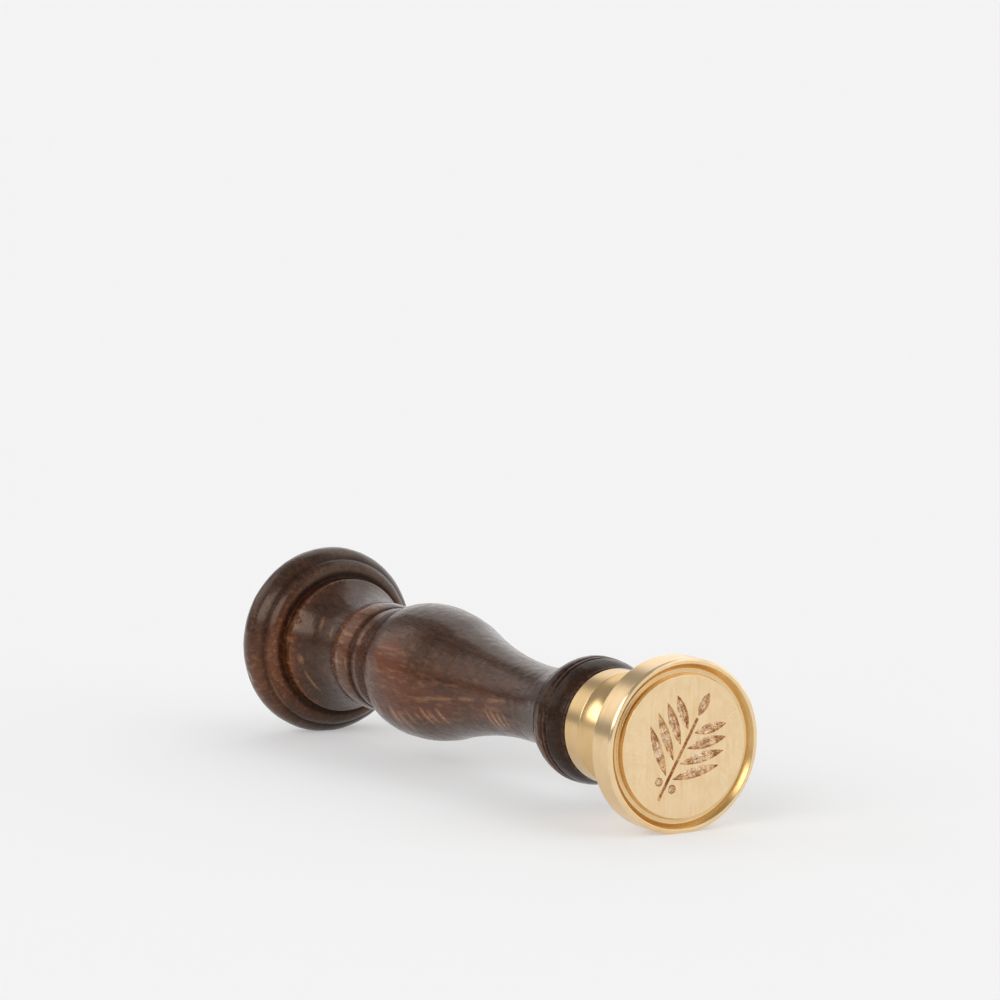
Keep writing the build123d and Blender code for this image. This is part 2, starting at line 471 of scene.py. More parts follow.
def wood_look():
    """Dark stained wood: streaks, fibres and pores along the axis, worn red and tan, edges lightened
    partly as a painted highlight, and painted shade in creases.
    """
    look = Look("stained_wood")
    streaks = look.grain((0.06, 1.5, 1.5), 5.0, 0.6)
    fibres = look.grain((0.28, 6.5, 6.5), 3.0, 0.55)
    clouds = look.grain((0.10, 0.20, 0.20), 3.0, 0.5)
    pores = look.grain((0.40, 5.0, 5.0), 2.0, 0.5)

    # Stained ground, red patches and the pale flecks in them
    tone = look.total((streaks, 0.45), (fibres, 0.25), (clouds, 0.30))
    base = look.mix(look.ramp(tone, 0.41, 0.59), WOOD_DARK, WOOD_MID)
    patch = look.attribute("patch")
    red = look.times(patch, look.spread(tone, 0.36, 0.60, 0.35, 1.0))
    base = look.mix(red, base, WOOD_RED)
    flecks = look.spread(look.grain((0.35, 1.5, 1.5), 4.0, 0.6), 0.52, 0.68, 0.0, 0.34)
    base = look.mix(look.times(flecks, patch), base, WOOD_TAN)

    # Rubbed marks, and worn edges lightened partly as a painted highlight
    torn = look.spread(look.grain((4.0, 7.0, 7.0), 2.0, 0.5), 0.36, 0.56, 0.35, 1.0)
    base = look.mix(look.times(look.attribute("rubbed"), torn), base, WOOD_TAN)
    scuff = look.spread(look.grain((1.6, 1.6, 1.6), 4.0, 0.65), 0.44, 0.62, 0.0, 0.7)
    base = look.mix(look.times(look.attribute("wear"), scuff), base, WOOD_WORN_AND_HIGHLIGHT)

    # Painted shade in the creases, stain on the collar, and pores
    stain = look.attribute("stain")
    base = look.mix(look.times(stain, 0.6), base, WOOD_PORE_AND_SHADE)
    dark_pore = look.times(look.ramp(pores, 0.42, 0.30), 0.6)
    base = look.mix(dark_pore, base, WOOD_PORE_AND_SHADE)

    rough = look.spread(clouds, 0.3, 0.7, 0.22, 0.12)
    rough = look.math("ADD", rough, look.times(dark_pore, 0.3))
    gloss = look.spread(stain, 0.0, 1.0, 0.50, 0.16)
    normal = look.bump(look.math("SUBTRACT", look.times(fibres, 0.5), dark_pore), 0.22, 0.1)
    surface = {"Roughness": rough, "Specular_IOR_Level": gloss, "Specular_Tint": WOOD_SHEEN}
    return look.finish(Base_Color=base, Normal=normal, **surface)


BRASS_PALE = rgb(0.92, 0.70, 0.43)
BRASS_DEEP = rgb(0.82, 0.585, 0.315)
BRASS_SPECK = rgb(0.20, 0.12, 0.06)
# The brown of the painted shade on the brass
BRASS_SHADE = rgb(0.64, 0.41, 0.16)


def brass_look():
    """Satin brass: turning lines round the sides, straight brushing on the face, and painted shade that
    browns the groove, the neck and the die's side.
    """
    look = Look("satin_brass")
    streak = look.attribute("streak", "Vector")
    lines = look.noise(look.stretched(streak, (1.6, 1.6, 11.0)), 4.0, 0.6)
    clouds = look.grain((0.35, 0.35, 0.35), 3.0, 0.55)
    tone = look.total((lines, 0.6), (clouds, 0.4))
    base = look.mix(look.ramp(tone, 0.32, 0.62), BRASS_DEEP, BRASS_PALE)
    cells = {"Vector": look.millimetres((0.9, 0.9, 0.9)), "Randomness": 1.0}
    speck = look.ramp(look.add("TexVoronoi", None, **cells).outputs["Distance"], 0.09, 0.05)
    base = look.mix(look.times(speck, look.ramp(clouds, 0.50, 0.62)), base, BRASS_SPECK)
    # Painted shade: the brass is browned in the groove, on the neck and on the die's side
    brown = look.times(look.attribute("brown"), look.spread(tone, 0.3, 0.7, 1.0, 0.75))
    base = look.mix(brown, base, BRASS_SHADE)
    rough = look.spread(tone, 0.3, 0.7, 0.19, 0.12)
    rough = look.math("ADD", rough, look.times(brown, 0.12))
    normal = look.bump(lines, 0.08, 0.06)
    return look.finish(Base_Color=base, Metallic=1.0, Roughness=rough, Normal=normal)


CUT_DARK = rgb(0.62, 0.41, 0.24)
CUT_PALE = rgb(0.95, 0.76, 0.56)


def cut_look():
    """The engraved cuts: rough milled brass, a little redder and duller than the face."""
    look = Look("milled_brass")
    specks = look.grain((5.0, 5.0, 5.0), 3.0, 0.6)
    clouds = look.grain((1.2, 1.2, 1.2), 2.0, 0.5)
    base = look.mix(look.ramp(clouds, 0.35, 0.65), CUT_DARK, CUT_PALE)
    rough = look.spread(specks, 0.3, 0.7, 0.16, 0.32)
    normal = look.bump(specks, 0.5, 0.12)
    return look.finish(Base_Color=base, Metallic=1.0, Roughness=rough, Normal=normal)


def plain_metal(name, scale, dark, pale, dull, bright):
    """A metal with soft clouds between two colours and two roughnesses."""
    look = Look(name)
    clouds = look.grain(scale, 4.0, 0.6)
    base = look.mix(look.ramp(clouds, 0.35, 0.65), dark, pale)
    rough = look.spread(clouds, 0.3, 0.7, dull, bright)
    normal = look.bump(clouds, 0.15, 0.05)
    return look.finish(Base_Color=base, Metallic=1.0, Roughness=rough, Normal=normal)


STEEL_DARK = rgb(0.46, 0.46, 0.45)
STEEL_PALE = rgb(0.66, 0.66, 0.63)
INSERT_DARK = rgb(0.60, 0.40, 0.19)
INSERT_PALE = rgb(0.80, 0.59, 0.32)


def steel_look():
    """Zinc-plated steel of the stud."""
    return plain_metal("stud_steel", (1.1, 1.1, 1.1), STEEL_DARK, STEEL_PALE, 0.42, 0.26)


def insert_look():
    """Plain turned brass of the sleeve in the handle."""
    return plain_metal("insert_brass", (0.9, 2.4, 2.4), INSERT_DARK, INSERT_PALE, 0.45, 0.28)


FLOOR_DARK = rgb(0.978, 0.978, 0.978)
FLOOR_PALE = rgb(0.986, 0.986, 0.986)
FLOOR_LEVEL = rgb(0.888, 0.888, 0.888)
FLOOR_PALE_SHARE = 0.38


def floor_look():
    """A matt pale table, with a share of its paleness shown straight to the camera and to reflections."""
    look = Look("pale_table")
    base = look.mix(look.grain((0.02, 0.02, 0.02), 2.0, 0.5), FLOOR_DARK, FLOOR_PALE)
    look.finish(Base_Color=base, Roughness=1.0, Specular_IOR_Level=0.0)

    path = look.add("LightPath").outputs
    seen = look.math("ADD", path["Is Camera Ray"], path["Is Glossy Ray"])
    seen = look.math("MINIMUM", look.math("ADD", seen, path["Is Transmission Ray"]), 1.0)
    share = look.times(seen, FLOOR_PALE_SHARE)
    pale = look.add("Emission", None, Color=FLOOR_LEVEL, Strength=1.0).outputs[0]
    both = look.add("MixShader", None, _0=share, _1=look.shader.outputs[0], _2=pale).outputs[0]
    look.plug(look.tree.nodes["Material Output"].inputs["Surface"], both)
    look.material.cycles.emission_sampling = "NONE"
    return look.material


# The wooden handle


def collar_points():
    """The collar's bore, face, bowed side, three fine grooves and rounded tail."""
    return joined(
        [(0, -WOOD_BORE_DEPTH), (WOOD_BORE_RADIUS, -WOOD_BORE_DEPTH), (WOOD_BORE_RADIUS, 0)],
        [COLLAR_FACE_EDGE],
        arc(COLLAR_FACE_EDGE, OUTWARD, COLLAR_FRONT, 6),
        bow(COLLAR_FRONT, FRONT_GROOVE[0], 0.15, 10),
        FRONT_GROOVE[1:],
        bow(FRONT_GROOVE[-1], MIDDLE_GROOVE[0], 0.03, 3),
        MIDDLE_GROOVE[1:],
        bow(MIDDLE_GROOVE[-1], COLLAR_WIDEST, 0.04, 4),
        bow(COLLAR_WIDEST, BACK_GROOVE[0], 0.1, 6),
        BACK_GROOVE[1:],
        bow(BACK_GROOVE[-1], COLLAR_TAIL, 0.15, 6),
    )


def grip_points():
    """The waist and the bulb, down to the crease in front of the bead."""
    return joined(
        [COLLAR_TAIL, GRIP_FRONT],
        arc(WAIST, TO_DIE, GRIP_FRONT, 24)[::-1],
        s_curve(WAIST, BULB, 0.7, 36),
        s_curve(BULB, BULB_BACK, 0.6, 20),
    )


def pommel_points():
    """The bead, the cove, the step ring and the pommel with its low dome."""
    return joined(
        [BULB_BACK, CREASE, BEAD_FRONT],
        bow(BEAD_FRONT, BEAD_BACK, 0.3, 14),
        [BEAD_BACK, COVE_FRONT],
        arc(COVE_FRONT, TO_POMMEL, STEP_FRONT, 24),
        [STEP_FRONT, STEP_BACK, POMMEL_FRONT],
        bow(POMMEL_FRONT, POMMEL_SHOULDER, 0.45, 14),
        arc(POMMEL_RIM, TO_DIE, POMMEL_SHOULDER, 18)[::-1],
        arc(POMMEL_RIM, TO_POMMEL, DOME_EDGE, 18),
        arc(DOME_TOP, OUTWARD, DOME_EDGE, 24)[::-1],
    )


def handle_outline():
    points = joined(collar_points(), grip_points(), pommel_points())
    return resampled(softened(points, WOOD_EDGE), WOOD_STEP)


def corner_shares(outline, side, reach):
    """How much each point lies at a sharp edge (side 1) or in a crease (side -1), from 0 to 1."""
    bends = []
    for before, point, after in zip([outline[0]] + outline, outline, outline[1:] + [outline[-1]]):
        first = (point[0] - before[0], point[1] - before[1])
        second = (after[0] - point[0], after[1] - point[1])
        cross = first[0] * second[1] - first[1] * second[0]
        dot = first[0] * second[0] + first[1] * second[1]
        outside = point[0] > OUTSIDE_RADIUS
        bends.append(max(0.0, -side * math.atan2(cross, dot)) if outside else 0.0)
    shares = []
    for i, point in enumerate(outline):
        total = 0.0
        for k in range(max(0, i - BEND_SPREAD), min(len(outline), i + BEND_SPREAD + 1)):
            total += bends[k] * math.exp(-((math.dist(point, outline[k]) / reach) ** 2))
        shares.append(min(1.0, max(0.0, total * BEND_GAIN - BLUNT_SHARE)))
    return shares


# Dents on the edges of the rings: angle in degrees, then height, reach and depth in millimetres, and
# how fast a dent runs out
DENTS = [
    (-118, -74.0, 0.9, 0.22),
    (-136, -74.1, 0.7, 0.18),
    (-97, -74.4, 0.8, 0.2),
    (-122, -65.5, 0.8, 0.2),
    (-88, -65.6, 0.6, 0.15),
    (-70, -80.6, 1.0, 0.18),
    (-104, -79.4, 0.8, 0.14),
    (-140, -9.0, 0.5, 0.15),
    (-75, -5.3, 0.6, 0.14),
    (40, -74.1, 0.9, 0.2),
    (120, -80.2, 1.1, 0.18),
    (75, -65.4, 0.7, 0.16),
]
DENT_FALL = 2.5

# Turning marks and lines of the grain that are rubbed pale: height and angle in degrees where each
# starts and ends, half width in millimetres, strength, and then how much a mark fades to its ends and
# at how many half widths its sides end
MARKS = [
    (-39.6, -66, -38.6, -49, 0.26, 0.8),
    (-38.2, -63, -37.4, -50, 0.34, 0.6),
    (-36.3, -66, -35.4, -49, 0.28, 0.8),
    (-41.0, -62, -40.4, -54, 0.22, 0.4),
    (-46.4, -64, -45.8, -49, 0.38, 0.7),
    (-44.7, -60, -44.0, -44, 0.36, 0.6),
    (-42.8, -63, -42.1, -50, 0.26, 0.5),
    (-50.5, -68, -50.1, -46, 0.20, 0.6),
    (-25.2, -74, -24.0, -48, 0.22, 0.8),
    (-23.9, -75, -22.5, -47, 0.27, 0.9),
    (-22.3, -73, -21.2, -49, 0.24, 0.8),
    (-20.8, -75, -20.0, -58, 0.22, 0.5),
    (-40.5, -77, -33.0, -82, 0.22, 0.4),
    (-31.0, -85, -27.8, -87, 0.22, 0.45),
    (-24.4, -92, -20.0, -97, 0.22, 0.4),
    (-72.2, -70, -71.6, -46, 0.16, 0.5),
    (-72.6, -86, -72.4, -80, 0.30, 0.5),
    (-77.0, -68, -77.1, -44, 0.20, 0.6),
    (-61.2, -94, -60.7, -80, 0.20, 0.5),
    (-63.7, -98, -63.2, -82, 0.20, 0.5),
    (-70.4, -130, -70.0, -116, 0.24, 0.4),
    (-67.9, -124, -67.4, -112, 0.20, 0.35),
    (-75.0, -112, -75.0, -92, 0.20, 0.4),
    (-5.10, -76, -5.10, -34, 0.22, 1.0),
    (-5.75, -90, -5.65, -66, 0.18, 0.9),
]
MARK_FADE = 0.5
MARK_SOFTNESS = 1.7

# Groups of like marks on the far side: how many, where they start, the way from group to group and
# from mark to mark, and the ranges that the rest is drawn from, with angles in degrees
MARK_GROUPS = 7
GROUPS_START = -18
GROUP_SPACING = 9.0
GROUP_DRIFT = (-0.1, 0.1)
GROUP_ANGLE = (0, 150)
GROUP_SIZE = (2, 4)
MARK_SPACING = 1.6
MARK_DRIFT = (0.8, 1.2)
MARK_OFFSET = (-6, 6)
MARK_TURN = (9, 20)
MARK_LEAN = (0.2, 0.8)
MARK_HALF_WIDTH = (0.14, 0.24)
MARK_STRENGTH = (0.4, 0.8)


def all_marks():
    """The marks above, and groups of like ones round the far side."""
    marks = list(MARKS)
    for group in range(MARK_GROUPS):
        height = GROUPS_START - GROUP_SPACING * (group + random.uniform(*GROUP_DRIFT))
        angle = random.uniform(*GROUP_ANGLE)
        for k in range(random.randint(*GROUP_SIZE)):
            at = height - k * MARK_SPACING * random.uniform(*MARK_DRIFT)
            start = angle + random.uniform(*MARK_OFFSET)
            end = start + random.uniform(*MARK_TURN)
            lean = random.uniform(*MARK_LEAN)
            half_width = random.uniform(*MARK_HALF_WIDTH)
            strength = random.uniform(*MARK_STRENGTH)
            marks.append((at, start, at + lean, end, half_width, strength))
    return marks


# Unevenness of the hand-turned wood: depth in millimetres, and waves to the millimetre
SOFT_WAVES = [(0.05, 0.22), (0.03, 0.8)]
RING_WAVE = (0.012, 2.6)


def surface_shift(angle, radius, height):
    """Small waviness of the hand-turned wood."""
    if radius < OUTSIDE_RADIUS:
        return 0.0
    place = Vector((math.cos(angle) * radius, math.sin(angle) * radius, height))
    wave = sum(depth * noise.noise(place * often) for depth, often in SOFT_WAVES)
    depth, often = RING_WAVE
    return wave + depth * noise.noise(Vector((0, 0, height * often)))


# Where the stain has worn to red: height, angle in degrees, reach along, reach around, strength, and
# then the red that is everywhere and how fast a patch runs out
PATCHES = [
    (-62.0, -95, 5.0, 9.0, 1.0),
    (-62.0, -140, 4.5, 6.0, 0.9),
    (-47.0, -112, 5.0, 4.0, 0.9),
    (-42.0, -75, 13.0, 7.5, 0.75),
    (-24.0, -80, 9.0, 5.0, 0.5),
    (-75.0, -85, 2.0, 11.0, 1.0),
    (-79.0, -70, 5.0, 10.0, 0.6),
    (-5.4, -62, 1.6, 7.0, 0.9),
    (-45.0, 80, 16.0, 8.0, 0.7),
    (-72.0, 60, 8.0, 9.0, 0.7),
    (-20.0, 120, 9.0, 5.0, 0.6),
]
PATCH_EVERYWHERE = 0.12
PATCH_FALL = 1.5


def vertex_places(mesh):
    """The place of each vertex in the scene, as rows of an array."""
    flat = numpy.empty(3 * len(mesh.vertices))
    mesh.vertices.foreach_get("co", flat)
    return flat.reshape(-1, 3)


def turned_places(mesh):
    """Height, radius and angle of each vertex about the stamp's axis, as arrays."""
    local = (vertex_places(mesh) - numpy.array(JOINT)) / MM
    x, y = local @ numpy.array(DOWN), local @ numpy.array(ACROSS)
    return local @ numpy.array(ALONG), numpy.hypot(x, y), numpy.arctan2(y, x)


def around_gap(angle, degrees):
    """The way round from a direction in degrees to an angle, in radians from -pi to pi."""
    return (angle - math.radians(degrees) + math.pi) % (2 * math.pi) - math.pi


def press_dents(mesh):
    """Push the wood in where its edges are dented."""
    height, radius, angle = turned_places(mesh)
    depth = numpy.zeros_like(height)
    for degrees, at, reach, deep in DENTS:
        away = (around_gap(angle, degrees) * radius) ** 2 + (height - at) ** 2
        depth += deep * numpy.exp(-DENT_FALL * away / reach**2)
    outward = numpy.outer(numpy.cos(angle), numpy.array(DOWN))
    outward += numpy.outer(numpy.sin(angle), numpy.array(ACROSS))
    moved = vertex_places(mesh) - outward * depth[:, None] * MM
    moved[:, 2] = numpy.maximum(moved[:, 2], 0.0)
    mesh.vertices.foreach_set("co", moved.ravel())
    mesh.update()


def red_shares(height, radius, angle):
    """How red the wood is at each place."""
    red = numpy.full_like(height, PATCH_EVERYWHERE)
    for at, degrees, along, across, strength in PATCHES:
        away = ((height - at) / along) ** 2 + (around_gap(angle, degrees) * radius / across) ** 2
        red += strength * numpy.exp(-PATCH_FALL * away)
    return red


def rubbed_shares(height, radius, angle):
    """How much of the stain is rubbed off at each place, by its distance from the marks' middle lines."""
    rubbed = numpy.zeros_like(height)
    for start, start_angle, end, end_angle, half_width, strength in all_marks():
        half_run = (end - start) / 2
        half_turn = math.radians(end_angle - start_angle) / 2 * radius
        up = height - (start + end) / 2
        turn = around_gap(angle, (start_angle + end_angle) / 2) * radius
        length = numpy.maximum(half_run**2 + half_turn**2, TINY)
        share = numpy.clip((up * half_run + turn * half_turn) / length, -1, 1)
        away = numpy.hypot(up - share * half_run, turn - share * half_turn) / half_width
        fade = 1 - MARK_FADE * share**2
        rubbed = numpy.maximum(rubbed, strength * fade * numpy.clip(MARK_SOFTNESS - away, 0, 1))
    return rubbed


def store(mesh, name, values):
    """Keep a value from 0 to 1 on each vertex."""
    layer = mesh.attributes.new(name, "FLOAT", "POINT")
    layer.data.foreach_set("value", numpy.clip(values, 0.0, 1.0).astype(numpy.float32))


def make_handle(material):
    """The handle: turned, dented, and painted with its wear, with highlights on its edges and with shade
    in its creases.
    """
    outline = handle_outline()
    # Worn edges, lightened partly as a painted highlight
    wear = corner_shares(outline, 1, EDGE_REACH)
    # Creases darkened as painted shade, kept with the collar's stain
    crease_shade = corner_shares(outline, -1, CREASE_SHADE_REACH)
    collar = [COLLAR_STAIN if height > COLLAR_TAIL[1] else 0.0 for _, height in outline]
    stain = [max(shares) for shares in zip(crease_shade, collar)]
    bm = bmesh.new()
    lathe(bm, outline, AROUND, surface_shift, wear=wear, stain=stain)
    piece = new_piece("handle_wood", bm, [material], "handle", "handle", WOOD_SHARP)
    press_dents(piece.data)
    places = turned_places(piece.data)
    store(piece.data, "patch", red_shares(*places))
    store(piece.data, "rubbed", rubbed_shares(*places))


# The brass head

NECK_STEPS = 40
MILLED_INDEX = 1


def head_outline():
    """The bore, the flange, the waisted neck, the die's side and its rim and groove, up to the face."""
    floor = DIE_FACE - GROOVE_DEPTH
    half_neck = (DIE_BACK - FLANGE_TOP) / 2
    lead = 2 * math.atan2(FLANGE_RADIUS - NECK_RADIUS, half_neck)
    inward = (-math.sin(lead), math.cos(lead))
    points = joined(
        [(0, HEAD_BORE_DEPTH), (HEAD_BORE_RADIUS, HEAD_BORE_DEPTH), (HEAD_BORE_RADIUS, 0)],
        [(FLANGE_RADIUS - FLANGE_CHAMFER, 0), (FLANGE_RADIUS, FLANGE_CHAMFER)],
        arc((FLANGE_RADIUS, FLANGE_TOP), inward, (FLANGE_RADIUS, DIE_BACK), NECK_STEPS),
        [(DIE_RADIUS, DIE_BACK), (DIE_RADIUS, DIE_FACE - DIE_CHAMFER)],
        [(DIE_RADIUS - DIE_CHAMFER, DIE_FACE), (LAND_RADIUS, DIE_FACE)],
        [(LAND_RADIUS - GROOVE_OUTER_WALL, floor), (DISC_RADIUS + GROOVE_INNER_WALL, floor)],
        [(DISC_RADIUS, DIE_FACE), (FACE_RADIUS, DIE_FACE)],
    )
    return resampled(softened(points, BRASS_EDGE), BRASS_STEP)


def brass_brown(radius, height):
    """How much painted shade browns the brass: most on the groove's outer wall, less on its floor and on
    the sides.
    """
    if height < DIE_BACK - EDGE_SLACK:
        return NECK_SHADE
    if radius > LAND_RADIUS:
        return DIE_SIDE_SHADE if height < DIE_FACE - DIE_CHAMFER - EDGE_SLACK else 0.0
    depth = (DIE_FACE - height) / GROOVE_DEPTH
    if radius < DISC_RADIUS + GROOVE_INNER_WALL or depth < GROOVE_LIP_SHARE:
        return 0.0
    return GROOVE_WALL_SHADE if radius > LAND_RADIUS - GROOVE_OUTER_WALL else GROOVE_FLOOR_SHADE


def leaf_reach(base, heading):
    """The distance from a leaf's base to the oval that the sprig fills."""
    w, h = SPRIG_HALF_WIDTH, SPRIG_HALF_HEIGHT
    dx, dy = math.cos(heading), math.sin(heading)
    a = (dx / w) ** 2 + (dy / h) ** 2
    b = base[0] * dx / w**2 + base[1] * dy / h**2
    c = (base[0] / w) ** 2 + (base[1] / h) ** 2 - 1
    return (-b + math.sqrt(b * b - a * c)) / a


def lens(length, width):
    """Half width of a two-arc leaf at a share of its length."""
    radius = (length**2 / 4 + width**2 / 4) / width
    rise = radius - width / 2

    def half(share):
        offset = (share - 0.5) * length
        return max(0.0, math.sqrt(max(0.0, radius**2 - offset**2)) - rise)

    return half


def capsule(length, width):
    """Half width of a round-ended slot at a share of its length."""
    end = width / 2

    def half(share):
        inset = min(share, 1 - share) * length
        if inset >= end:
            return end
        return math.sqrt(max(0.0, end**2 - (end - inset) ** 2))

    return half


def sprig_cuts():
    """Each cut of the sprig: base, heading, length, half width and whether it has a rib."""
    offset = STEM_WIDTH / 2 + LEAF_GAP
    spacing = (LEAF_WIDTH + LEAF_GAP) / math.sin(LEAF_ANGLE)
    top = (LEAF_PAIRS - 1) * spacing / 2
    upright = math.pi / 2
    cuts = []
    for pair in range(LEAF_PAIRS):
        height = top - pair * spacing - spacing / 2
        for side in (1, -1):
            heading = upright - side * LEAF_ANGLE
            base = (side * offset, height)
            reach = leaf_reach(base, heading)
            cuts.append((base, heading, reach, lens(reach, LEAF_WIDTH), True))
    tip = (0, top + spacing / 2)
    tip_reach = SPRIG_HALF_HEIGHT - tip[1]
    cuts.append((tip, upright, tip_reach, lens(tip_reach, LEAF_WIDTH), True))
    stem_length = tip[1] - LEAF_GAP + SPRIG_HALF_HEIGHT
    cuts.append(((0, -SPRIG_HALF_HEIGHT), upright, stem_length, capsule(stem_length, STEM_WIDTH), False))
    berry_row = top - LEAF_PAIRS * spacing - BERRY_RADIUS
    berry = 2 * BERRY_RADIUS
    for side in (1, -1):
        base = (side * (offset + BERRY_RADIUS), berry_row)
        cuts.append((base, upright, berry, capsule(berry, berry), False))
    return cuts


def turned_face(x, y):
    """A point of the upright sprig, turned as it lies on the die."""
    c, s = math.cos(SPRIG_TURN), math.sin(SPRIG_TURN)
    return (x * c - y * s, x * s + y * c)


def cut_depth(share, side, half, length, ribbed, place):
    """Depth of a cut below the face: sloping walls, a rough floor and a rib along a leaf."""
    inset = min((1 - abs(side)) * half, min(share, 1 - share) * length * CUT_END_SLOPE)
    fall = min(1.0, inset / CUT_WALL)
    x, y = place
    grit = sum(size * noise.noise(Vector((x * often, y * often, level))) for size, often, level in GRIT)
    depth = CUT_DEPTH * math.sin(fall * math.pi / 2) - CUT_ROUGHNESS * grit * fall
    if ribbed:
        across = side * half / RIB_HALF_WIDTH
        depth -= RIB_HEIGHT * math.exp(-(across**2)) * fall
    return max(0.0, depth)


def face_vertex(bm, place, depth=0.0):
    """A vertex on the die's face or at a depth in it, with the straight brushing of the face."""
    x, y = place
    vertex = bm.verts.new(to_world((x, y, DIE_FACE - depth)))
    vertex[bm.verts.layers.float_vector["streak"]] = (x * BRUSH_STRETCH, y, BRUSH_LEVEL)
    return vertex


def make_cut(bm, cut):
    """One engraved cut as a grid of its length and width. Returns its outline on the face."""
    base, heading, length, half_at, ribbed = cut
    rows = max(LEAST_ROWS, math.ceil(length / CUT_STEP))
    columns = max(LEAST_COLUMNS, 2 * math.ceil(half_at(0.5) / CUT_STEP) + EXTRA_COLUMNS)
    cos_h, sin_h = math.cos(heading), math.sin(heading)

    def place(along, aside):
        x = base[0] + along * cos_h - aside * sin_h
        y = base[1] + along * sin_h + aside * cos_h
        return turned_face(x, y)

    grid, left, right = [], [], []
    for i in range(rows + 1):
        share = (1 - math.cos(math.pi * i / rows)) / 2
        half = half_at(share)
        tip = i in (0, rows)
        row = []
        for k in range(1 if tip else columns + 1):
            side = 2 * k / columns - 1
            spot = place(share * length, side * half)
            edge = tip or k in (0, columns)
            depth = 0.0 if edge else cut_depth(share, side, half, length, ribbed, spot)
            row.append(face_vertex(bm, spot, depth))
        grid.append(row)
        left.append(place(share * length, -half))
        right.append(place(share * length, half))
    for lower, upper in zip(grid, grid[1:]):
        for k in range(columns):
            corners = [lower[min(k, len(lower) - 1)], lower[min(k + 1, len(lower) - 1)]]
            corners += [upper[min(k + 1, len(upper) - 1)], upper[min(k, len(upper) - 1)]]
            add_face(bm, corners, MILLED_INDEX)
    return left + right[-2:0:-1]


def inside(point, loop):
    """Whether a point lies within a closed loop."""
    x, y = point
    odd = False
    for (x1, y1), (x2, y2) in zip(loop, loop[1:] + loop[:1]):
        if (y1 > y) != (y2 > y) and x < x1 + (y - y1) / (y2 - y1) * (x2 - x1):
            odd = not odd
    return odd


def make_face(bm, outlines):
    """The flat of the die's disc, between its rim and the outlines of the cuts."""
    points, edges = [], []
    for loop in [circle(FACE_RADIUS, AROUND)] + outlines:
        first = len(points)
        points += [Vector(p) for p in loop]
        edges += [(first + k, first + (k + 1) % len(loop)) for k in range(len(loop))]
    within_loops = 1
    verts, _, faces, _, _, _ = delaunay_2d_cdt(points, edges, [], within_loops, TINY)
    made = [face_vertex(bm, place) for place in verts]
    for face in faces:
        middle = sum((verts[i] for i in face), Vector((0, 0))) / len(face)
        if not any(inside(middle, loop) for loop in outlines):
            bm.faces.new([made[i] for i in face])


def make_head(brass, milled):
    """The head: turned up to the edge of the face, which is then closed round the cuts."""
    bm = bmesh.new()
    outline = head_outline()
    # Each ring of the head carries its share of painted shade
    lathe(bm, outline, AROUND, brown=[brass_brown(*point) for point in outline])
    make_face(bm, [make_cut(bm, cut) for cut in sprig_cuts()])
    bmesh.ops.remove_doubles(bm, verts=bm.verts, dist=SAME_VERTEX)
    new_piece("seal_head_brass", bm, [brass, milled], "head", "seal_head", BRASS_SHARP)


# The stud


def thread_radius(height, turn):
    """The stud's radius below the joint, at a height and a share of a turn."""
    crest = abs((height / THREAD_PITCH - turn) % 1.0 - 0.5) * 2
    ridge = min(1.0, max(0.0, (crest - ROOT_SHARE) / FLANK_SHARE))
    fade = min(1.0, -height / JOINT_RUN_OUT, (height - THREAD_END) / TIP_RUN_OUT)
    return STUD_RADIUS - THREAD_DEPTH + THREAD_DEPTH * ridge * max(0.0, fade)


def make_stud(material):
    """A plain shank in the head and one helix of thread below it."""
    levels = round(-THREAD_END / THREAD_PITCH * ROWS_PER_TURN)
    bm = bmesh.new()
    bm.verts.layers.float_vector.new("streak")
    columns = []
    for k in range(STUD_AROUND):
        angle = 2 * math.pi * k / STUD_AROUND
        column = []
        for level in range(levels + 1):
            height = THREAD_END * level / levels
            radius = thread_radius(height, k / STUD_AROUND)
            place = to_world((radius * math.cos(angle), radius * math.sin(angle), height))
            column.append(bm.verts.new(place))
        columns.append(column)
    tip = bm.verts.new(to_world((0, 0, THREAD_END)))
    for one, two in zip(columns, columns[1:] + columns[:1]):
        for level in range(levels):
            bm.faces.new((one[level], two[level], two[level + 1], one[level + 1]))
        bm.faces.new((one[levels], two[levels], tip))
    shank = [(STUD_RADIUS - THREAD_DEPTH, 0), (STUD_RADIUS, 0), (STUD_RADIUS, SHANK_END), (0, SHANK_END)]
    lathe(bm, shank, STUD_AROUND)
    bmesh.ops.remove_doubles(bm, verts=bm.verts, dist=SAME_VERTEX)
    new_piece("stud_thread", bm, [material], "stud", "stud", STUD_SHARP)


# Stage: table, light and camera

FLOOR_RADIUS = 30.0
FLOOR_RINGS = (0.3, 1.0, 4.0, 12.0, FLOOR_RADIUS)
FLOOR_CORNERS = 96


def make_floor():
    """A wide round table, in rings."""
    bm = bmesh.new()
    rings = []
    for radius in FLOOR_RINGS:
        rings.append([bm.verts.new((x, y, 0.0)) for x, y in circle(radius, FLOOR_CORNERS)])
    bm.faces.new(rings[0])
    for inner, outer in zip(rings, rings[1:]):
        for k in range(FLOOR_CORNERS):
            after = (k + 1) % FLOOR_CORNERS
            bm.faces.new((inner[k], outer[k], outer[after], inner[after]))
    mesh = bpy.data.meshes.new("table")
    bm.to_mesh(mesh)
    bm.free()
    mesh.materials.append(floor_look())
    table = bpy.data.objects.new("table", mesh)
    bpy.context.scene.collection.objects.link(table)


